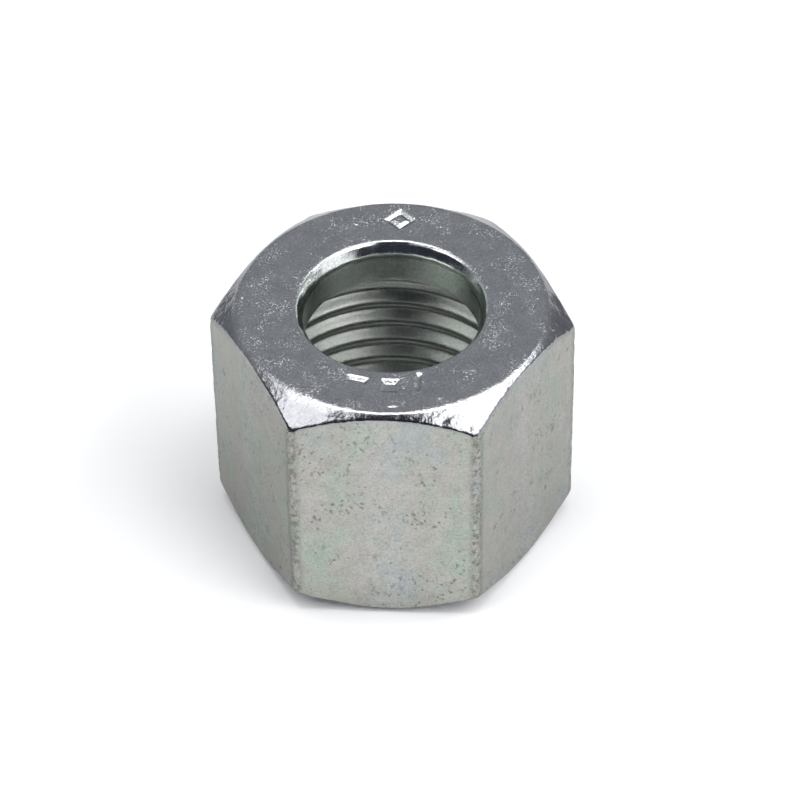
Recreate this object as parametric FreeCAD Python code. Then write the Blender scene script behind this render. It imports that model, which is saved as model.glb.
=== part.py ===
"""Union nut for a 24 degree cone tube fitting: size 10 light, thread M16 x 1.5, for a 10 mm tube.

One forged and turned piece. Millimetres, +Z along the nut's axis towards the tube. The origin is
on the axis, in the plane of the threaded mouth, so the nut stands on z = 0 as it does on a bench.
Two of its six flats face along Y.
"""

import FreeCAD
import Part

import math
import os

from FreeCAD import Vector

# Hexagon
ACROSS_FLATS = 18.6          # a 19 mm spanner's hexagon, less the forging tolerance
HEIGHT = 16.0
FLATS = 6
EDGE_RADIUS = 0.6            # rounding of the six upright edges
TOP_LAND_RADIUS = 8.95       # the flat ring that the tube comes out of
TOP_CHAMFER_DEG = 38.0       # slope of the corner chamfer, from the horizontal
MOUTH_LAND_RADIUS = 8.85     # the flat ring round the thread
MOUTH_CHAMFER_DEG = 36.0
CHAMFER_REACH = 12.0         # radius that the chamfers are turned from, outside the corners
CHAMFER_CROWN = 0.02         # how far a chamfer bulges over its straight line

# Tube end: countersink, tube bore and the cone that presses on the cutting ring
TUBE_RADIUS = 5.0
TUBE_CLEARANCE = 0.12
COUNTERSINK_RADIUS = 5.55
COUNTERSINK_DEG = 60.0       # included angle
TUBE_BORE_END = 2.65         # depth below the top face where the cone starts
CONE_DEG = 90.0              # included angle

# Thread, metric fine, right-handed
THREAD_DIAMETER = 16.0
PITCH = 1.5
MINOR_DIAMETER = 14.58       # within 6H, 14.376 to 14.676
FLANK_DEG = 60.0             # included angle of the groove
ROOT_FLAT = PITCH / 8
GROOVE_START_Z = -0.8        # middle of the groove at +X, below the mouth
GROOVE_TURNS = 8.22          # the groove runs out in the cone
GROOVE_OVERCUT = 0.3         # how far the cutting form reaches inside the minor diameter
MOUTH_COUNTERSINK_RADIUS = 8.25
MOUTH_COUNTERSINK_DEG = 120.0

# Stamped marks on the top ring
STAMP_DEPTH = 0.22
LOZENGE_AT = (0.1, 7.45)
LOZENGE_HALF = 0.9           # half its diagonal
LOZENGE_ISLAND_HALF = 0.42
BAR_AT = (-1.6, -6.25)
BAR_SIZE = (1.15, 0.42)
SQUARE_AT = (0.25, -6.7)
SQUARE_SIZE = (0.95, 0.95)
TICK_AT = (1.86, -6.33)
TICK_SIZE = (0.3, 1.3)

CLEAR = 1.0                  # how far a cutting tool runs past the surface that it cuts
BODY_NODE = "nut_body"

tube_bore_radius = TUBE_RADIUS + TUBE_CLEARANCE
minor_radius = MINOR_DIAMETER / 2
major_radius = THREAD_DIAMETER / 2
cone_end = TUBE_BORE_END + (minor_radius - tube_bore_radius) / math.tan(math.radians(CONE_DEG / 2))


def regular_polygon(corners, half_width, first_deg, z):
    """A closed face: corners at equal angles, half_width from the middle to each side."""
    radius = half_width / math.cos(math.pi / corners)
    angles = [math.radians(first_deg + 360.0 / corners * k) for k in range(corners + 1)]
    points = [Vector(radius * math.cos(a), radius * math.sin(a), z) for a in angles]
    return Part.Face(Part.makePolygon(points))


def turned(outline):
    """A solid of revolution about Z from (radius, z) points that start and end on the axis."""
    points = [Vector(r, 0, z) for r, z in outline]
    return Part.Face(Part.makePolygon(points + points[:1])).revolve(Vector(), Vector(0, 0, 1), 360)


def crowned(start, end):
    """An edge from start to end, (radius, z) each, that bulges away from the axis by the crown."""
    first, last = Vector(start[0], 0, start[1]), Vector(end[0], 0, end[1])
    along = last - first
    outwards = Vector(along.z, 0, -along.x).normalize()
    return Part.Arc(first, (first + last) / 2 + outwards * CHAMFER_CROWN, last).toShape()


def straight(*outline):
    """Edges through (radius, z) points."""
    return Part.makePolygon([Vector(r, 0, z) for r, z in outline]).Edges


def hexagon_bar():
    """Upright hexagonal bar with rounded upright edges and two flats facing along Y."""
    face = regular_polygon(FLATS, ACROSS_FLATS / 2, 0, 0)
    bar = face.extrude(Vector(0, 0, HEIGHT))
    upright = [e for e in bar.Edges if abs(e.tangentAt(e.FirstParameter).z) > 0.9]
    return bar.makeFillet(EDGE_RADIUS, upright)


def chamfered_outside():
    """The turned outside that takes the corners off both ends of the bar."""
    top_drop = (CHAMFER_REACH - TOP_LAND_RADIUS) * math.tan(math.radians(TOP_CHAMFER_DEG))
    mouth_rise = (CHAMFER_REACH - MOUTH_LAND_RADIUS) * math.tan(math.radians(MOUTH_CHAMFER_DEG))
    mouth_land, mouth_outer = (MOUTH_LAND_RADIUS, 0), (CHAMFER_REACH, mouth_rise)
    top_land, top_outer = (TOP_LAND_RADIUS, HEIGHT), (CHAMFER_REACH, HEIGHT - top_drop)
    edges = straight((0, 0), mouth_land) + [crowned(mouth_land, mouth_outer)]
    edges += straight(mouth_outer, top_outer) + [crowned(top_outer, top_land)]
    edges += straight(top_land, (0, HEIGHT), (0, 0))
    return Part.Face(Part.Wire(edges)).revolve(Vector(), Vector(0, 0, 1), 360)


def turned_hollow():
    """The hollow before threading: tube bore, cone, and the thread's minor bore."""
    countersink = (COUNTERSINK_RADIUS - tube_bore_radius) / math.tan(math.radians(COUNTERSINK_DEG / 2))
    mouth_slope = math.tan(math.radians(MOUTH_COUNTERSINK_DEG / 2))
    mouth_depth = (MOUTH_COUNTERSINK_RADIUS - minor_radius) / mouth_slope
    return turned([(0, -CLEAR), (MOUTH_COUNTERSINK_RADIUS + CLEAR * mouth_slope, -CLEAR),
                   (minor_radius, mouth_depth),
                   (minor_radius, HEIGHT - cone_end),
                   (tube_bore_radius, HEIGHT - TUBE_BORE_END),
                   (tube_bore_radius, HEIGHT - countersink),
                   (COUNTERSINK_RADIUS + CLEAR * (COUNTERSINK_RADIUS - tube_bore_radius) / countersink,
                    HEIGHT + CLEAR),
                   (0, HEIGHT + CLEAR)])


def thread_groove():
    """One right-handed helical groove with 60 degree flanks, from below the mouth to the cone."""
    slope = math.tan(math.radians(FLANK_DEG / 2))
    inner_radius = minor_radius - GROOVE_OVERCUT
    root_half = ROOT_FLAT / 2
    open_half = root_half + (major_radius - inner_radius) * slope
    corners = [(inner_radius, -open_half), (major_radius, -root_half),
               (major_radius, root_half), (inner_radius, open_half)]
    points = [Vector(r, 0, GROOVE_START_Z + z) for r, z in corners]
    path = Part.makeHelix(PITCH, PITCH * GROOVE_TURNS, minor_radius)
    path.translate(Vector(0, 0, GROOVE_START_Z))
    profile = Part.makePolygon(points + points[:1])
    return Part.Wire(path.Edges).makePipeShell([profile], True, True)


def prism(face, x, y):
    """A stamping punch: the face moved to (x, y), reaching STAMP_DEPTH below the top face."""
    punch = face.extrude(Vector(0, 0, STAMP_DEPTH + CLEAR))
    punch.translate(Vector(x, y, HEIGHT - STAMP_DEPTH))
    return punch


def rectangle(size):
    """A flat rectangle centred on the origin."""
    width, depth = size
    return Part.makePlane(width, depth, Vector(-width / 2, -depth / 2, 0))


def stamps():
    """Plain marks on the top ring: a lozenge on one side, a bar, a square and a tick on the other."""
    outer = regular_polygon(4, LOZENGE_HALF / math.sqrt(2), 0, 0)
    island = regular_polygon(4, LOZENGE_ISLAND_HALF / math.sqrt(2), 0, 0)
    bar = rectangle(BAR_SIZE)
    bar.rotate(Vector(), Vector(0, 0, 1), math.degrees(math.atan2(BAR_AT[1], BAR_AT[0])) + 90)
    return [prism(outer.cut(island), *LOZENGE_AT), prism(bar, *BAR_AT),
            prism(rectangle(SQUARE_SIZE), *SQUARE_AT), prism(rectangle(TICK_SIZE), *TICK_AT)]


def nut_body():
    """The whole nut as one solid."""
    blank = hexagon_bar().common(chamfered_outside())
    bored = blank.cut(turned_hollow())
    threaded = bored.cut(thread_groove())
    return threaded.cut(stamps())


def main():
    os.makedirs("parts", exist_ok=True)
    body = nut_body()
    body.exportStep(f"parts/{BODY_NODE}.step")
    box = body.optimalBoundingBox(False)
    print(BODY_NODE, "solids", len(body.Solids), "valid", body.isValid(), "volume", round(body.Volume, 2))
    print("size", round(box.XLength, 3), round(box.YLength, 3), round(box.ZLength, 3))


main()
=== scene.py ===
"""Looks of a zinc plated union nut: M16 x 1.5 thread, 10 mm tube bore, 19 mm spanner hexagon.

The nut's surface is one closed mesh: rings of points outside and in the tube bore, and rows that
follow the helix in the thread. Its lengths are in millimetres until the mesh is made, and then in
metres, in the frame's own axes.
"""

import math

import bmesh
import bpy
import numpy as np
from mathutils import Matrix, Vector, noise


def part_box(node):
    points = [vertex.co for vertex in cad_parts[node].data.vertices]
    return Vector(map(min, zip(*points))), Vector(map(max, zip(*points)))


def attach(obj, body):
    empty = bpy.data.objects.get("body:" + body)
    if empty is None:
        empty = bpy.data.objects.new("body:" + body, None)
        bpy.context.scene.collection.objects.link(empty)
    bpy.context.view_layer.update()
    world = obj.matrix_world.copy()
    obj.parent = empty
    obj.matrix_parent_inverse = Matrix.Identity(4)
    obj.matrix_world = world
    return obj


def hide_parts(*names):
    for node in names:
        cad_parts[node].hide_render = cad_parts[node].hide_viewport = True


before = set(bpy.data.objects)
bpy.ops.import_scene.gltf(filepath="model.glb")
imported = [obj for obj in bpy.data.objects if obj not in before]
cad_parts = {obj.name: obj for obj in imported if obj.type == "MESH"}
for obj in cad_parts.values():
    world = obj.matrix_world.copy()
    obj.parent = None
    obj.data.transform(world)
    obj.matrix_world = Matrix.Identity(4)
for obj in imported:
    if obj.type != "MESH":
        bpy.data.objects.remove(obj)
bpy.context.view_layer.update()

MM = 0.001
NODE = "nut_body"
high = np.array(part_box(NODE)[1]) / MM

# Hexagon, from the frame's box: two flats face along Y
HALF_FLATS = high[1]
HEIGHT = high[2]
SIXTH = math.radians(60)
EDGE_RADIUS = 0.6
TOP_LAND = 8.95
TOP_SLOPE = math.tan(math.radians(38))
MOUTH_LAND = 8.85
MOUTH_SLOPE = math.tan(math.radians(36))

# Hollow, from the top face down
COUNTERSINK = 5.55
COUNTERSINK_DEPTH = 0.745
TUBE_BORE = 5.12
TUBE_BORE_END = HEIGHT - 2.65
MINOR = 7.29
MAJOR = 8.0
CONE_END = TUBE_BORE_END - (MINOR - TUBE_BORE)
MOUTH_COUNTERSINK = 8.25
MOUTH_COUNTERSINK_SLOPE = math.tan(math.radians(60))
MOUTH_COUNTERSINK_TOP = (MOUTH_COUNTERSINK - MINOR) / MOUTH_COUNTERSINK_SLOPE

# Thread: one right-handed groove
PITCH = 1.5
GROOVE_START = -0.8          # height of the groove's middle at +X
GROOVE_TURNS = 8.22
GROOVE_FADE = 0.16           # turns over which the groove runs out
GROOVE_HALF = 0.5 * PITCH / 8 + (MAJOR - MINOR) * math.tan(math.radians(30))
GROOVE_LEAST = 0.004         # a shallower groove is left out
GROOVE_ROUNDING = 0.17
FLANK_RISE = 1 / math.tan(math.radians(30))
# Rows of the mesh beside the groove's middle, in turns
GROOVE_STATIONS = np.array([0, 0.09, 0.16, 0.3, 0.42, 0.49, 0.535, 0.6]) / PITCH
HELIX_TOP = 12.5             # the helical rows end here, in the cone

# Rounding of the edges between the turned faces. Corners are rounder than the middles of flats
CORNER_ZONE = 0.6            # a corner starts at the flats' distance and is full this far out
MOUTH_EDGE = 0.12
LOWER_EDGE = (0.32, 0.2)     # where chamfers meet flats: at the flats' middle, and more at a corner
LOWER_EDGE_STRAY = 0.06
TOP_EDGE = (0.4, 0.35)
RIM_EDGE = 0.35              # round the countersink
RIM_FOOT = 0.9
CONE_EDGE = 0.05
CHAMFER_WOBBLE = 0.09        # how far the chamfers' lower edges stray at a corner
WOBBLE_AT_FLATS = 0.35       # share of it at the middle of a flat
WOBBLE_WAVES = (1.9, 0.7)
WOBBLE_SEEDS = (3, 8)        # for the mouth's chamfer and the top's
STRAY_WAVE = 1.3
STRAY_SEED = 5

# Stamped marks on the top face, as (x, y), half sizes and turn in degrees
STAMP_DEPTH = 0.17
STAMP_WALL = 0.34            # width of a mark's sloping wall
STAMP_ROLL = 0.1             # how far the wall starts outside the mark's outline
STAMP_LIP = 0.012            # metal raised round a mark
STAMP_LIP_OFF = 0.05         # from the wall's start to the lip's crest
STAMP_LIP_WIDTH = 0.06
LOZENGE = ((0.1, 7.45), (0.636, 0.636), 45)
LOZENGE_ISLAND = ((0.1, 7.45), (0.297, 0.297), 45)
BAR = ((-1.6, -6.25), (0.575, 0.21), -14.4)
SQUARE = ((0.25, -6.7), (0.475, 0.475), 0)
TICK = ((1.86, -6.33), (0.15, 0.65), 0)

# Dents as (x, y), half sizes, turn in degrees and depth
DENTS = [((-2.43, 6.88), (0.19, 0.09), -8, 0.05), ((0.5, -8.43), (0.42, 0.1), 4, 0.06),
         ((9.36, -1.33), (0.09, 0.09), 0, 0.05), ((-8.66, 0.24), (0.09, 0.08), 0, 0.05),
         ((-7.3, 1.9), (0.3, 0.1), 35, 0.03), ((5.6, 5.1), (0.25, 0.08), -40, 0.03),
         ((3.1, -7.7), (0.12, 0.08), 10, 0.04)]
MARK_MARGIN = 0.22           # the mesh is finer this far round marks and dents
MARK_CUTS = 3                # marks and dents lie over UNDER_TOP and outside LAND_FROM
UNDER_TOP = HEIGHT - 2       # a level under the marks and dents, and over the cone
LAND_FROM = COUNTERSINK + 0.1

# Zones of the surface, and the lengths over which they blend
FORGED_FROM = TOP_LAND - 0.3
FORGED_BLEND = 0.9
FLATS_BLEND = 0.25
THREAD_BLEND = 0.5
BORE_BLEND = 0.2
UPRIGHT_ZONE = 0.4           # half width of the rough strip along an upright edge

# Roughness of the surface, as wavelength and depth
FORGED_WAVES = ((6.0, 0.045), (2.2, 0.022), (0.9, 0.012))
UPRIGHT_PITS = (0.55, 0.06)
UPRIGHT_PIT_BIAS = 0.1
UPRIGHT_PIT_SEED = 60
RIM_WAVES = (0.8, 0.03)      # the tool's marks in the countersink
RIM_WAVE_SEED = 90
RIM_WAVES_START = 0.15       # they set in and end here, in depths of the countersink
RIM_WAVES_END = 1.3

# Mesh
SECTOR_COLUMNS = 58          # columns in each sixth of the circle
EDGE_COLUMNS = 7             # of these, on each side of an upright edge
EDGE_ZONE = math.radians(3.2)

# Colours of the plating, with painted shade and light: the chamfers and the thread are darkened as painted
# shade, the turned inside above the thread brightened as painted light
FORGED_ZINC = (0.292, 0.308, 0.272, 1)
TOP_ZINC = (0.49, 0.495, 0.51, 1)
# Darker than the flats: painted shade on the chamfers, for the dim reflection they show at the back
CHAMFER_SHADED_ZINC = (0.262, 0.268, 0.285, 1)
# Much brighter than the zinc elsewhere: painted light in the countersink, tube bore and cone
TURNED_LIT_ZINC = (0.84, 0.9, 0.87, 1)
# Dark: painted shade on the thread deep in the hole
THREAD_SHADED_ZINC = (0.33, 0.36, 0.335, 1)
PASSIVATION = ((0.28, (0.35, 0.435, 0.37)), (0.43, (0.4, 0.42, 0.38)), (0.51, (0.44, 0.405, 0.395)),
               (0.59, (0.405, 0.415, 0.385)), (0.74, (0.36, 0.4, 0.45)))
PIT_COLOUR = (0.14, 0.145, 0.11, 1)
BRIGHT_SPECK = (0.86, 0.87, 0.88, 1)
GRAZING_TINT = (0.68, 0.68, 0.68, 1)

# Noise in the plating: scale per millimetre or per stretched unit, detail, roughness, distortion
TINTS = (0.34, 2, 0.5, 0.4)
GRAIN = (6.5, 4, 0.65)
MOTTLE = (1.1, 4, 0.6)
PIT_SHAPES = (9.0, 2, 0.5)
PIT_CROWDS = (0.4, 3, 0.6)
FLECKS = (2.6, 5, 0.7)
EDGE_PITS = (3.3, 5, 0.68)
SPECK_SHAPES = (22.0, 2, 0.5)
SCUFFS = (7.5, 3, 0.6)
SCUFF_CROWDS = (0.65, 4, 0.68)
COARSE = (3.2, 3, 0.6)
LUMPS = (1.7, 2, 0.5)
SCRATCHES = (1.0, 3, 0.55)
GOUGES = (1.0, 2, 0.5)

# Cells per millimetre, and the stretched patterns' units along their own axes
PIT_CELLS = 2.3
SPECK_CELLS = 6.5
TINT_UNIT = (1, 1, 1.5)
FLECK_UNIT = (1, 1, 1.6)
SCRATCH_UNIT = (2.4, 0.11, 3)
SCRATCH_TURNS = (0.4, 1.7, 2.5)
GOUGE_UNIT = (0.3, 0.3, 2.4)
GOUGE_TURN = (0.35, -0.3, 0)

# Lights: name, azimuth and elevation in degrees, distance and size in metres, power in watts
SOFTBOXES = (("left_softbox", -66, 49, 0.5, (0.3, 0.26), 0.64),
             ("right_softbox", 77, 47, 0.5, (0.6, 0.26), 1.78),
             ("overhead_softbox", 0, 90, 0.6, (0.5, 0.22), 1.8))

# The room in the metal's reflections. Each range is a direction, and the angles off it in degrees
# where it sets in and where it is full
WHITE = (1, 1, 1, 1)
ROOM = (0.36, 0.375, 0.4, 1)
ROOM_FRONT = (0.03, 0.03, 0.045, 1)
ROOM_SIDE = (1.25, 1.22, 1.3, 1)
IN_FRONT = ((0, -1, 0), 100, 78)
LOW_DOWN = ((0, 0, -1), 128, 112)
DARK_PATCH = ((0.03, -0.66, 0.75), 31, 17)
BRIGHT_SIDE = ((0.93, -0.3, 0.06), 34, 20)

# Floor, in metres. It glows from some way off, to stay white up to the horizon
FLOOR_HALF = 3.0
FLOOR_Z = -2e-5
FLOOR_COLOUR = (0.95, 0.95, 0.95, 1)
FLOOR_ROUGHNESS = 0.9
FLOOR_SPECULAR = 0.1
FLOOR_GLOW = 0.75
FLOOR_GLOW_RANGE = (0.12, 0.45)

# Camera
CAMERA_TURNS = (3.56, 43.98, -0.90)     # azimuth, elevation and roll in degrees
CAMERA_DISTANCE = 226.9
CAMERA_AIM = (0.388, 0.289)             # to the right of the nut's middle, and over it
CAMERA_LENS = 172.8
CAMERA_SENSOR = 36
CAMERA_CLIP = (0.005, 20)               # in metres


def smooth_step(x):
    """0 below 0 and 1 above 1, smoothly between them."""
    x = np.clip(x, 0, 1)
    return x * x * (3 - 2 * x)


def soft_clamp(x, top, width):
    """x between 0 and top, with both corners rounded over about width."""
    def ramp(v):
        return width * np.logaddexp(0, v / width)
    return ramp(x) - ramp(x - top)


def off_flat(angles):
    """How far each direction is turned from the middle of the nearest flat."""
    return np.abs(angles % SIXTH - SIXTH / 2)


def column_angles():
    """Angles of the mesh's columns, closer together at the six upright edges."""
    near = np.linspace(0, EDGE_ZONE, EDGE_COLUMNS, endpoint=False)
    wide = SECTOR_COLUMNS - 2 * EDGE_COLUMNS
    across = np.linspace(EDGE_ZONE, SIXTH - EDGE_ZONE, wide, endpoint=False)
    far = np.linspace(SIXTH - EDGE_ZONE, SIXTH, EDGE_COLUMNS, endpoint=False)
    sector = np.concatenate([near, across, far])
    return np.concatenate([sector + SIXTH * k for k in range(6)])


def hexagon_radius(angles):
    """Distance from the axis to a hexagon with rounded upright edges, corners at 0, 60, 120..."""
    from_flat = off_flat(angles)
    straight = HALF_FLATS / np.cos(from_flat)
    from_corner = SIXTH / 2 - from_flat
    centre = (HALF_FLATS - EDGE_RADIUS) / math.cos(SIXTH / 2)
    across = centre * np.sin(from_corner)
    rounded = centre * np.cos(from_corner) + np.sqrt(np.maximum(EDGE_RADIUS**2 - across**2, 0))
    tangent = SIXTH / 2 - math.atan(centre * math.sin(SIXTH / 2) / HALF_FLATS)
    return np.where(from_corner < tangent, rounded, straight)


def fillet(corner, before, after, radius, steps):
    """Points round a corner of each column's outline, from the side of before to that of after."""
    a = corner - before
    b = after - corner
    a /= np.linalg.norm(a, axis=-1, keepdims=True)
    b /= np.linalg.norm(b, axis=-1, keepdims=True)
    turn = np.arccos(np.clip((a * b).sum(-1), -1, 1))
    radius = np.broadcast_to(radius, turn.shape)[..., None]
    reach = radius * np.tan(turn / 2)[..., None]
    side = b - a * (a * b).sum(-1, keepdims=True)
    side /= np.maximum(np.linalg.norm(side, axis=-1, keepdims=True), 1e-9)
    start = corner - a * reach
    rows = []
    for k in range(steps + 1):
        t = turn * k / steps
        rows.append(start + radius * (np.sin(t)[..., None] * a + (1 - np.cos(t))[..., None] * side))
    return rows


def between(a, b, count):
    """count rows strictly between rows a and b."""
    return [a + (b - a) * k / (count + 1) for k in range(1, count + 1)]


def outline(first, corners, end, end_count):
    """Rows from first towards end. A corner is a point, its radius and steps, and the rows before it."""
    points = [first] + [corner[0] for corner in corners] + [end]
    rows = []
    last = first
    for k, (point, radius, steps, count) in enumerate(corners):
        arc = fillet(point, points[k], points[k + 2], radius, steps)
        rows += [last] + between(last, arc[0], count)
        rows += arc[:-1]
        last = arc[-1]
    return rows + [last] + between(last, end, end_count)


def stray(angles, wavelength, seed):
    """Smooth noise between about -1 and 1 round the nut, with its wavelength in millimetres."""
    reach = HALF_FLATS / wavelength
    places = [Vector((math.cos(a) * reach, math.sin(a) * reach, seed)) for a in angles]
    return np.array([noise.noise(place) for place in places])


def chamfer_wobble(angles, corner, seed):
    """How far a chamfer's edge on the flats strays in each column."""
    swing = CHAMFER_WOBBLE * (WOBBLE_AT_FLATS + (1 - WOBBLE_AT_FLATS) * corner)
    long_wave, short_wave = WOBBLE_WAVES
    return swing * (stray(angles, long_wave, seed) + 0.5 * stray(angles, short_wave, seed))


def ring(r, z, count):
    """The point (r, z) once for each of count columns."""
    return np.tile(np.array([r, z], float), (count, 1))


def outer_rows(angles):
    """From the mouth's land, up the flats, over the top land and down the tube bore and cone."""
    n = len(angles)
    r = hexagon_radius(angles)
    corner = smooth_step((r - HALF_FLATS) / CORNER_ZONE)
    mouth_wobble, top_wobble = (chamfer_wobble(angles, corner, seed) for seed in WOBBLE_SEEDS)
    lower = np.stack([r, (r - MOUTH_LAND) * MOUTH_SLOPE + mouth_wobble], -1)
    upper = np.stack([r, HEIGHT - (r - TOP_LAND) * TOP_SLOPE - top_wobble], -1)
    soft = LOWER_EDGE[0] + LOWER_EDGE[1] * corner
    soft += LOWER_EDGE_STRAY * stray(angles, STRAY_WAVE, STRAY_SEED)
    rolled = TOP_EDGE[0] + TOP_EDGE[1] * corner
    corners = [(ring(MOUTH_LAND, 0, n), MOUTH_EDGE, 3, 2),
               (lower, soft, 4, 5),
               (upper, soft, 5, 34),
               (ring(TOP_LAND, HEIGHT, n), rolled, 8, 6),
               (ring(COUNTERSINK, HEIGHT, n), RIM_EDGE, 6, 21),
               (ring(TUBE_BORE, HEIGHT - COUNTERSINK_DEPTH, n), RIM_FOOT, 4, 3),
               (ring(TUBE_BORE, TUBE_BORE_END, n), CONE_EDGE, 3, 6)]
    in_cone = ring(TUBE_BORE + TUBE_BORE_END - HELIX_TOP, HELIX_TOP, n)
    return outline(ring(MOUTH_COUNTERSINK, 0, n), corners, in_cone, 5)


def groove_depth(angles, z):
    """Depth of the thread's groove at columns and heights, and how fully it is cut there."""
    along = (z - GROOVE_START) / PITCH - angles / (2 * np.pi)
    turn = np.round(along)
    offset = np.abs(along - turn) * PITCH
    depth = soft_clamp((GROOVE_HALF - offset) * FLANK_RISE, MAJOR - MINOR, GROOVE_ROUNDING)
    left = GROOVE_TURNS - (turn + angles / (2 * np.pi))
    return depth, smooth_step(left / GROOVE_FADE)


def hollow_radius(angles, z):
    """Radius of the hollow below the tube bore: cone, thread and the mouth's countersink."""
    wall = np.maximum(MINOR, MOUTH_COUNTERSINK - z * MOUTH_COUNTERSINK_SLOPE)
    wall = np.where(z > CONE_END, TUBE_BORE + TUBE_BORE_END - z, wall)
    depth, cut = groove_depth(angles, z)
    groove = MINOR + depth - (MAJOR - MINOR) * (1 - cut)
    return np.maximum(wall, np.where(depth > GROOVE_LEAST, groove, 0))


def snap(z, level):
    """Moves each column's nearest row onto a level, so that the edge there is clean."""
    nearest = np.abs(z - level).argmin(0)
    z[nearest, np.arange(z.shape[1])] = level


def thread_grid(closed):
    """Rows of (r, z) that follow the helix, from HELIX_TOP to the mouth."""
    stations = np.concatenate([-GROOVE_STATIONS[:0:-1], GROOVE_STATIONS, [0.5]])
    turns = np.arange(math.ceil((HELIX_TOP - GROOVE_START) / PITCH) + 1, -2, -1)
    levels = (turns[:, None] + stations[::-1][None, :]).ravel()
    z = GROOVE_START + PITCH * (levels[:, None] + closed[None, :] / (2 * np.pi))
    z = np.clip(z, 0, HELIX_TOP)
    for level in (CONE_END, MOUTH_COUNTERSINK_TOP):
        snap(z[:, :-1], level)
    z[:, -1] = np.roll(z[:, 0], len(stations))
    z[: len(stations), -1] = HELIX_TOP
    return np.stack([hollow_radius(np.broadcast_to(closed, z.shape), z), z], -1)


def grid_faces(rows, columns):
    """Quads of a grid of points, numbered row by row."""
    index = np.arange(rows * columns).reshape(rows, columns)
    return np.stack([index[:-1, :-1], index[:-1, 1:], index[1:, 1:], index[1:, :-1]], -1).reshape(-1, 4)


def weld(points, faces, tolerance=1e-4):
    """Merges points that coincide and drops the faces that this closes up."""
    keys = np.round(points / tolerance).astype(np.int64)
    _, first, same = np.unique(keys, axis=0, return_index=True, return_inverse=True)
    order = np.argsort(first)
    rank = np.empty_like(order)
    rank[order] = np.arange(len(order))
    faces = rank[same.ravel()][faces]
    kept = []
    for face in faces.tolist():
        corners = [c for k, c in enumerate(face) if c != face[k - 1]]
        if len(set(corners)) == len(corners) and len(corners) > 2:
            kept.append(corners)
    return points[first[order]], kept


def nut_surface():
    """Points in millimetres and faces of the whole nut."""
    angles = column_angles()
    closed = np.append(angles, 2 * np.pi)
    rows = np.array(outer_rows(angles))
    rows = np.concatenate([rows, rows[:, :1]], 1)
    r, z = np.moveaxis(np.concatenate([rows, thread_grid(closed)]), -1, 0)
    turned = np.stack([r * np.cos(closed), r * np.sin(closed), z], -1)
    return weld(turned.reshape(-1, 3), grid_faces(*r.shape))


def from_place(x, y, place, turn):
    """x and y measured from a place, along axes turned by that many degrees."""
    angle = math.radians(turn)
    along = (x - place[0]) * math.cos(angle) + (y - place[1]) * math.sin(angle)
    across = (y - place[1]) * math.cos(angle) - (x - place[0]) * math.sin(angle)
    return along, across


def box_distance(x, y, place, half, turn):
    """Signed distance from points to a rectangle's outline, negative inside."""
    along, across = from_place(x, y, place, turn)
    over = np.stack([np.abs(along) - half[0], np.abs(across) - half[1]])
    return np.hypot(*np.maximum(over, 0)) + np.minimum(over.max(0), 0)


def stamp_distance(x, y):
    """Signed distance to the nearest mark."""
    lozenge = np.maximum(box_distance(x, y, *LOZENGE), -box_distance(x, y, *LOZENGE_ISLAND))
    return np.minimum.reduce([lozenge] + [box_distance(x, y, *mark) for mark in (BAR, SQUARE, TICK)])


def dent_distance(x, y):
    """Distance to each dent's middle, in units of its own half sizes."""
    measures = []
    for place, half, turn, _ in DENTS:
        along, across = from_place(x, y, place, turn)
        measures.append(np.hypot(along / half[0], across / half[1]))
    return measures


def on_top(x, y, z):
    """Which points lie on the top land or beside it, where the marks and dents are."""
    return (z > UNDER_TOP) & (np.hypot(x, y) > LAND_FROM)


def refine_marks(mesh):
    """Divides the top's faces at the marks and dents more finely."""
    work = bmesh.new()
    work.from_mesh(mesh)
    work.faces.ensure_lookup_table()
    x, y, z = (np.array([face.calc_center_median() for face in work.faces]) / MM).T
    near = stamp_distance(x, y) < MARK_MARGIN
    for (_, half, _, _), measure in zip(DENTS, dent_distance(x, y)):
        near |= measure < 1 + MARK_MARGIN / min(half)
    chosen = np.nonzero(near & on_top(x, y, z))[0]
    edges = {edge for k in chosen for edge in work.faces[k].edges}
    bmesh.ops.subdivide_edges(work, edges=list(edges), cuts=MARK_CUTS, use_grid_fill=True)
    work.to_mesh(mesh)
    work.free()


def cloud(points, wavelength, seed):
    """Smooth noise between about -1 and 1 at each point."""
    return np.array([noise.noise(Vector(p) / wavelength + Vector((0, 0, seed))) for p in points])


def surface_zones(points):
    """How far each point belongs to each zone of the surface, from 0 to 1."""
    x, y, z = points.T
    radius, angles = np.hypot(x, y), np.arctan2(y, x)
    forged = smooth_step((radius - FORGED_FROM) / FORGED_BLEND)
    slope = np.where(z > HEIGHT / 2, TOP_SLOPE, MOUTH_SLOPE)
    under_chamfer = np.minimum(z, HEIGHT - z) - (hexagon_radius(angles) - TOP_LAND) * slope
    flats = forged * smooth_step(under_chamfer / FLATS_BLEND)
    off_edge = radius * np.sin(SIXTH / 2 - off_flat(angles))
    turned = (radius < COUNTERSINK) | ((radius < MOUTH_COUNTERSINK) & (z < UNDER_TOP))
    return {"forged": forged,
            "flats": flats,
            "upright": flats * np.exp(-((off_edge / UPRIGHT_ZONE) ** 4)),
            "turned": turned.astype(float),
            "threaded": turned * smooth_step((CONE_END - z) / THREAD_BLEND),
            "bored": turned * smooth_step((HEIGHT - COUNTERSINK_DEPTH - z) / BORE_BLEND)}


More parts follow.
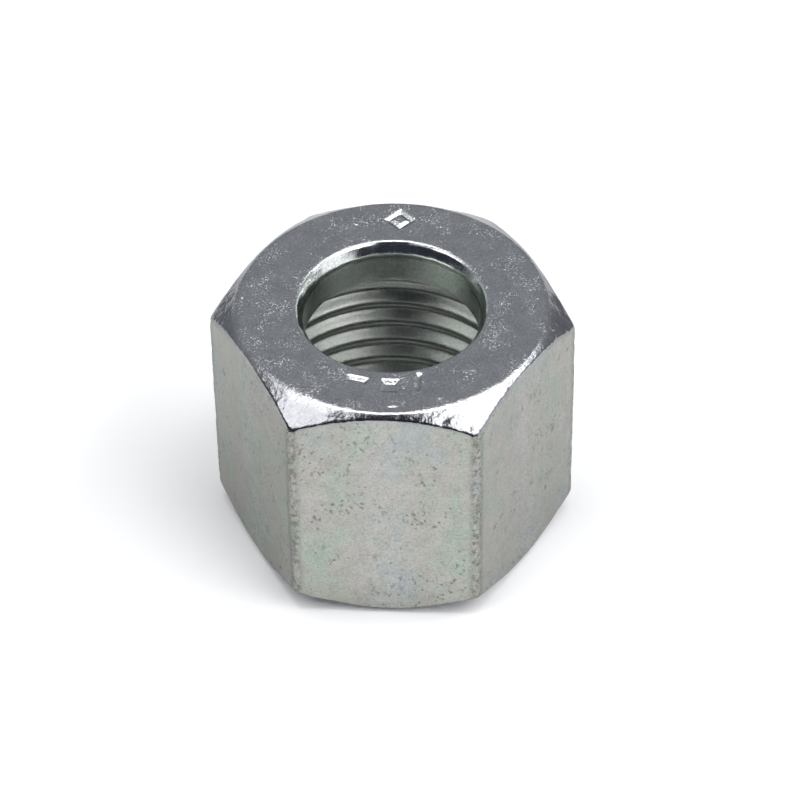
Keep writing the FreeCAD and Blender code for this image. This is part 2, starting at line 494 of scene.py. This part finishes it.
def skin_drop(points, zones):
    """How far the forged skin and the tool's marks in the countersink sink each point."""
    drop = np.zeros(len(points))
    outside = np.nonzero(zones["forged"] > 0)[0]
    for seed, (wavelength, depth) in enumerate(FORGED_WAVES):
        drop[outside] += depth * (0.5 + 0.5 * cloud(points[outside], wavelength, 10 * seed))
    wavelength, depth = UPRIGHT_PITS
    pits = cloud(points[outside], wavelength, UPRIGHT_PIT_SEED) + UPRIGHT_PIT_BIAS
    drop[outside] += depth * zones["upright"][outside] * np.maximum(pits, 0)
    drop *= zones["forged"]
    level = (HEIGHT - points[:, 2]) / COUNTERSINK_DEPTH
    rim = np.nonzero((zones["turned"] > 0) & (level < RIM_WAVES_END))[0]
    weight = smooth_step(RIM_WAVES_END - level[rim]) * smooth_step(level[rim] / RIM_WAVES_START)
    wavelength, depth = RIM_WAVES
    drop[rim] += depth * weight * cloud(points[rim], wavelength, RIM_WAVE_SEED)
    return drop


def mark_depth(x, y):
    """How far the stamped marks and the dents sink each point of the top."""
    distance = stamp_distance(x, y)
    sunk = STAMP_DEPTH * smooth_step((STAMP_ROLL - distance) / STAMP_WALL)
    sunk -= STAMP_LIP * np.exp(-((distance - STAMP_ROLL - STAMP_LIP_OFF) / STAMP_LIP_WIDTH) ** 2)
    for (_, _, _, depth), measure in zip(DENTS, dent_distance(x, y)):
        sunk += depth * smooth_step(1 - measure)
    return sunk


def weather(mesh):
    """Roughens what was forged and sinks the marks and dents. Leaves the zones as attributes."""
    count = len(mesh.vertices)
    points, normals = np.empty(count * 3), np.empty(count * 3)
    mesh.vertices.foreach_get("co", points)
    mesh.vertices.foreach_get("normal", normals)
    points, normals = points.reshape(-1, 3) / MM, normals.reshape(-1, 3)
    zones = surface_zones(points)
    points -= normals * skin_drop(points, zones)[:, None]
    top = on_top(*points.T)
    points[top, 2] -= mark_depth(points[top, 0], points[top, 1])
    mesh.vertices.foreach_set("co", (points * MM).ravel())
    for name, values in zones.items():
        mesh.attributes.new(name, "FLOAT", "POINT").data.foreach_set("value", values.astype(np.float32))
    mesh.update()


def build_nut():
    """The nut as one smooth-shaded piece."""
    points, faces = nut_surface()
    mesh = bpy.data.meshes.new("union_nut")
    mesh.from_pydata((points * MM).tolist(), [], faces)
    refine_marks(mesh)
    weather(mesh)
    mesh.validate()
    nut = bpy.data.objects.new("union_nut", mesh)
    bpy.context.scene.collection.objects.link(nut)
    for polygon in mesh.polygons:
        polygon.use_smooth = True
    return nut


class Nodes:
    """Short forms for the nodes of one tree."""

    def __init__(self, tree):
        self.tree = tree

    def feed(self, socket, value):
        """Links value to the socket if it is an output, or else sets it there."""
        if isinstance(value, bpy.types.NodeSocket):
            self.tree.links.new(value, socket)
        else:
            socket.default_value = value

    def add(self, kind, inputs, output=0, **settings):
        """A node of that kind with its inputs fed. Returns one of its outputs."""
        node = self.tree.nodes.new(kind)
        for name, value in settings.items():
            setattr(node, name, value)
        for key, value in inputs.items():
            self.feed(node.inputs[key], value)
        return node.outputs[output]

    def millimetres(self):
        """Place on the object, in millimetres."""
        place = self.add("ShaderNodeTexCoord", {}, "Object")
        return self.add("ShaderNodeVectorMath", {0: place, "Scale": 1 / MM}, operation="SCALE")

    def stretched(self, vector, size, turn=(0, 0, 0)):
        """The place in a turned frame whose unit along each axis is the size."""
        return self.add("ShaderNodeMapping", {"Vector": vector, "Scale": size, "Rotation": turn},
                        vector_type="TEXTURE")

    def noise(self, vector, scale, detail, roughness, distortion=0):
        return self.add("ShaderNodeTexNoise", {"Vector": vector, "Scale": scale, "Detail": detail,
                                               "Roughness": roughness, "Distortion": distortion})

    def cells(self, vector, scale):
        """Distance to the nearest of scattered points, and a random number for each of them."""
        inputs = {"Vector": vector, "Scale": scale, "Randomness": 1.0}
        return self.add("ShaderNodeTexVoronoi", inputs), self.add("ShaderNodeTexVoronoi", inputs, "Color")

    def math(self, operation, a, b):
        return self.add("ShaderNodeMath", {0: a, 1: b}, operation=operation)

    def total(self, *terms):
        """Sum of values."""
        result = terms[0]
        for term in terms[1:]:
            result = self.math("ADD", result, term)
        return result

    def product(self, *factors):
        """Values multiplied."""
        result = factors[0]
        for factor in factors[1:]:
            result = self.math("MULTIPLY", result, factor)
        return result

    def without(self, value):
        """What the value leaves of 1."""
        return self.math("SUBTRACT", 1.0, value)

    def between(self, value, low, high):
        """0 where value is under low and 1 where it is over high, smoothly between them."""
        return self.add("ShaderNodeMapRange", {"Value": value, "From Min": low, "From Max": high},
                        interpolation_type="SMOOTHSTEP")

    def towards(self, direction, start, full):
        """0 to 1 as the way into the world turns to a direction, from one angle off it to another."""
        way = self.add("ShaderNodeTexCoord", {}, "Generated")
        cosine = self.add("ShaderNodeVectorMath", {0: way, 1: direction}, "Value", operation="DOT_PRODUCT")
        return self.between(cosine, math.cos(math.radians(start)), math.cos(math.radians(full)))

    def mix(self, factor, a, b, blend="MIX"):
        """Two colours mixed."""
        return self.add("ShaderNodeMix", {0: factor, 6: a, 7: b}, 2, data_type="RGBA", blend_type=blend)

    def attribute(self, name):
        return self.add("ShaderNodeAttribute", {}, "Fac", attribute_name=name)

    def ramp(self, value, stops):
        """Colours at positions, blended between."""
        node = self.tree.nodes.new("ShaderNodeValToRGB")
        while len(node.color_ramp.elements) < len(stops):
            node.color_ramp.elements.new(0.5)
        for element, (position, colour) in zip(node.color_ramp.elements, stops):
            element.position = position
            element.color = (*colour, 1)
        self.feed(node.inputs[0], value)
        return node.outputs[0]


def new_material(name):
    """A material with its nodes and its shader."""
    material = bpy.data.materials.new(name)
    material.use_nodes = True
    return material, Nodes(material.node_tree), material.node_tree.nodes["Principled BSDF"]


def plain_colour(n, place, zone, grain, mottle):
    """Colour of each zone, tinted by the passivation and shaded by grain and mottle, with painted shade on
    the chamfers and thread and painted light on the turned inside.
    """
    tint = n.ramp(n.noise(n.stretched(place, TINT_UNIT), *TINTS), PASSIVATION)
    # Chamfers take a darker colour than the flats: painted shade
    outside = n.mix(zone["flats"], CHAMFER_SHADED_ZINC, FORGED_ZINC)
    colour = n.mix(zone["forged"], TOP_ZINC, outside)
    # Inside, the turned faces are painted light and the thread painted shade
    colour = n.mix(zone["turned"], colour, n.mix(zone["threaded"], TURNED_LIT_ZINC, THREAD_SHADED_ZINC))
    tinted = n.total(0.1, n.product(zone["flats"], 0.45), n.product(zone["turned"], 0.25))
    colour = n.mix(tinted, colour, tint)
    shade = n.total(0.36, n.product(grain, 0.86), n.product(mottle, 0.42))
    return n.mix(1.0, colour, n.add("ShaderNodeCombineColor", {0: shade, 1: shade, 2: shade}), "MULTIPLY")


def forged_pits(n, place, zone):
    """Dark pits: dots and flecks in crowds on the flats, and flecks along the upright edges."""
    shape, chance = n.cells(place, PIT_CELLS)
    shape = n.total(shape, n.product(n.noise(place, *PIT_SHAPES), 0.3))
    dots = n.product(n.without(n.between(shape, 0.24, 0.4)), n.between(chance, 0.4, 0.6))
    crowded = n.between(n.noise(place, *PIT_CROWDS), 0.38, 0.6)
    flecks = n.between(n.noise(n.stretched(place, FLECK_UNIT), *FLECKS), 0.565, 0.665)
    dots = n.product(n.math("MAXIMUM", dots, flecks), crowded, zone["flats"])
    edge_pits = n.between(n.noise(place, *EDGE_PITS), 0.47, 0.61)
    return n.math("MAXIMUM", dots, n.product(edge_pits, zone["upright"]))


def bright_specks(n, place, top):
    """Where the top ring is scuffed bright: small spots and scuffs in clusters."""
    shape, chance = n.cells(place, SPECK_CELLS)
    shape = n.total(shape, n.product(n.noise(place, *SPECK_SHAPES), 0.4))
    spots = n.product(n.without(n.between(shape, 0.36, 0.62)), n.between(chance, 0.3, 0.62))
    scuffs = n.between(n.noise(place, *SCUFFS), 0.5, 0.66)
    cluster = n.between(n.noise(place, *SCUFF_CROWDS), 0.42, 0.62)
    specks = n.math("MAXIMUM", spots, n.product(scuffs, 0.6))
    return n.product(specks, n.total(0.12, cluster), top)


def top_scratches(n, place, top):
    """Fine scratches across the top ring, in three directions."""
    scratches = []
    for turn in SCRATCH_TURNS:
        lines = n.noise(n.stretched(place, SCRATCH_UNIT, (0, 0, turn)), *SCRATCHES)
        scratches.append(n.between(lines, 0.64, 0.8))
    return n.product(n.total(*scratches), top)


def fine_relief(n, place, zone, top, grain, mottle, pits, specks):
    """Height of the fine relief, in millimetres."""
    chamfers = n.math("SUBTRACT", zone["forged"], zone["flats"])
    fine = n.product(grain, n.total(0.009, n.product(top, 0.02), n.product(chamfers, -0.005)))
    coarse = n.product(n.noise(place, *COARSE), zone["upright"], 0.15)
    lumps = n.product(n.noise(place, *LUMPS), chamfers, 0.06)
    gouges = n.between(n.noise(n.stretched(place, GOUGE_UNIT, GOUGE_TURN), *GOUGES), 0.68, 0.78)
    return n.total(fine, n.product(mottle, 0.02), coarse, lumps, n.product(pits, -0.02),
                   n.product(specks, 0.009), n.product(top_scratches(n, place, top), -0.004),
                   n.product(gouges, zone["flats"], -0.02))


def zinc():
    """Bright zinc plating, clear passivated: forged outside, turned inside, scuffed on top; its colour
    holds painted shade on the chamfers and thread and painted light on the turned inside.
    """
    material, n, shader = new_material("zinc_plate")
    place = n.millimetres()
    names = ("forged", "flats", "upright", "turned", "threaded", "bored")
    zone = {name: n.attribute(name) for name in names}
    top = n.without(n.math("MAXIMUM", zone["forged"], zone["turned"]))
    grain, mottle = n.noise(place, *GRAIN), n.noise(place, *MOTTLE)
    pits, specks = forged_pits(n, place, zone), bright_specks(n, place, top)

    colour = plain_colour(n, place, zone, grain, mottle)
    border = n.product(zone["upright"], n.without(zone["upright"]), 1.3)
    dark = n.math("MAXIMUM", n.product(pits, 0.66), n.product(border, mottle))
    colour = n.mix(dark, colour, PIT_COLOUR)
    colour = n.mix(n.product(specks, 0.85), colour, BRIGHT_SPECK)
    n.feed(shader.inputs["Base Color"], colour)

    roughness = n.total(0.1, n.product(mottle, 0.12), n.product(zone["flats"], 0.14),
                        n.product(zone["turned"], -0.04), n.product(zone["threaded"], 0.08),
                        n.product(zone["bored"], 0.17), n.product(pits, 0.15))
    n.feed(shader.inputs["Roughness"], roughness)
    shader.inputs["Metallic"].default_value = 1
    shader.inputs["Specular Tint"].default_value = GRAZING_TINT

    height = fine_relief(n, place, zone, top, grain, mottle, pits, specks)
    bump = n.add("ShaderNodeBump", {"Height": height, "Distance": MM, "Strength": 1.0})
    n.feed(shader.inputs["Normal"], bump)
    return material


def from_front(azimuth, elevation):
    """Unit vector out from the nut, turned to the right of its front and up."""
    return Vector((math.sin(azimuth) * math.cos(elevation), -math.cos(azimuth) * math.cos(elevation),
                   math.sin(elevation)))


def add_light(name, azimuth, elevation, distance, size, power):
    """A soft light at that azimuth and elevation from the nut's foot, facing it."""
    data = bpy.data.lights.new(name, "AREA")
    data.shape = "RECTANGLE"
    data.size, data.size_y = size
    data.energy = power
    light = bpy.data.objects.new(name, data)
    back = from_front(math.radians(azimuth), math.radians(elevation))
    light.location = back * distance
    light.rotation_mode = "QUATERNION"
    light.rotation_quaternion = back.to_track_quat("Z", "Y")
    light.visible_camera = False
    bpy.context.scene.collection.objects.link(light)


def build_floor():
    """A pale floor, white up to the horizon."""
    mesh = bpy.data.meshes.new("floor")
    corners = ((-1, -1), (1, -1), (1, 1), (-1, 1))
    mesh.from_pydata([(x * FLOOR_HALF, y * FLOOR_HALF, FLOOR_Z) for x, y in corners], [], [(0, 1, 2, 3)])
    floor = bpy.data.objects.new("floor", mesh)
    bpy.context.scene.collection.objects.link(floor)
    material, n, shader = new_material("pale_floor")
    shader.inputs["Base Color"].default_value = FLOOR_COLOUR
    shader.inputs["Roughness"].default_value = FLOOR_ROUGHNESS
    shader.inputs["Specular IOR Level"].default_value = FLOOR_SPECULAR
    shader.inputs["Emission Color"].default_value = WHITE
    place = n.add("ShaderNodeTexCoord", {}, "Object")
    reach = n.add("ShaderNodeVectorMath", {0: place}, "Value", operation="LENGTH")
    n.feed(shader.inputs["Emission Strength"], n.product(n.between(reach, *FLOOR_GLOW_RANGE), FLOOR_GLOW))
    mesh.materials.append(material)


def build_world():
    """White to the eye. To the metal a grey room, dark low in front and in a patch, bright at one side."""
    world = bpy.data.worlds.new("studio")
    bpy.context.scene.world = world
    world.use_nodes = True
    n = Nodes(world.node_tree)
    low_front = n.product(n.towards(*IN_FRONT), n.towards(*LOW_DOWN))
    dark = n.math("MAXIMUM", low_front, n.towards(*DARK_PATCH))
    colour = n.mix(n.towards(*BRIGHT_SIDE), n.mix(dark, ROOM, ROOM_FRONT), ROOM_SIDE)
    room = n.add("ShaderNodeBackground", {"Color": colour})
    seen = n.tree.nodes["Background"]
    seen.inputs["Color"].default_value = WHITE
    by_camera = n.add("ShaderNodeLightPath", {}, "Is Camera Ray")
    mixed = n.add("ShaderNodeMixShader", {0: by_camera, 1: room, 2: seen.outputs[0]})
    n.feed(n.tree.nodes["World Output"].inputs["Surface"], mixed)


def build_stage():
    """Floor, surroundings and lights."""
    build_floor()
    build_world()
    for softbox in SOFTBOXES:
        add_light(*softbox)


def build_camera():
    """The camera looks down at the nut from the front, from far off through a long lens."""
    azimuth, elevation, roll = map(math.radians, CAMERA_TURNS)
    data = bpy.data.cameras.new("camera")
    data.sensor_width = CAMERA_SENSOR
    data.lens = CAMERA_LENS
    data.clip_start, data.clip_end = CAMERA_CLIP
    camera = bpy.data.objects.new("camera", data)
    back = from_front(azimuth, elevation)
    right = Vector((math.cos(azimuth), math.sin(azimuth), 0))
    up = back.cross(right)
    rolled_right = math.cos(roll) * right + math.sin(roll) * up
    rolled_up = math.cos(roll) * up - math.sin(roll) * right
    aim = Vector((0, 0, HEIGHT / 2)) + rolled_right * CAMERA_AIM[0] + rolled_up * CAMERA_AIM[1]
    camera.matrix_world = Matrix((rolled_right, rolled_up, back)).transposed().to_4x4()
    camera.location = (aim + back * CAMERA_DISTANCE) * MM
    bpy.context.scene.collection.objects.link(camera)
    bpy.context.scene.camera = camera


nut = build_nut()
nut.data.materials.append(zinc())
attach(nut, "root")
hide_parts(NODE)
build_stage()
build_camera()
bpy.context.scene.view_settings.view_transform = "Standard"
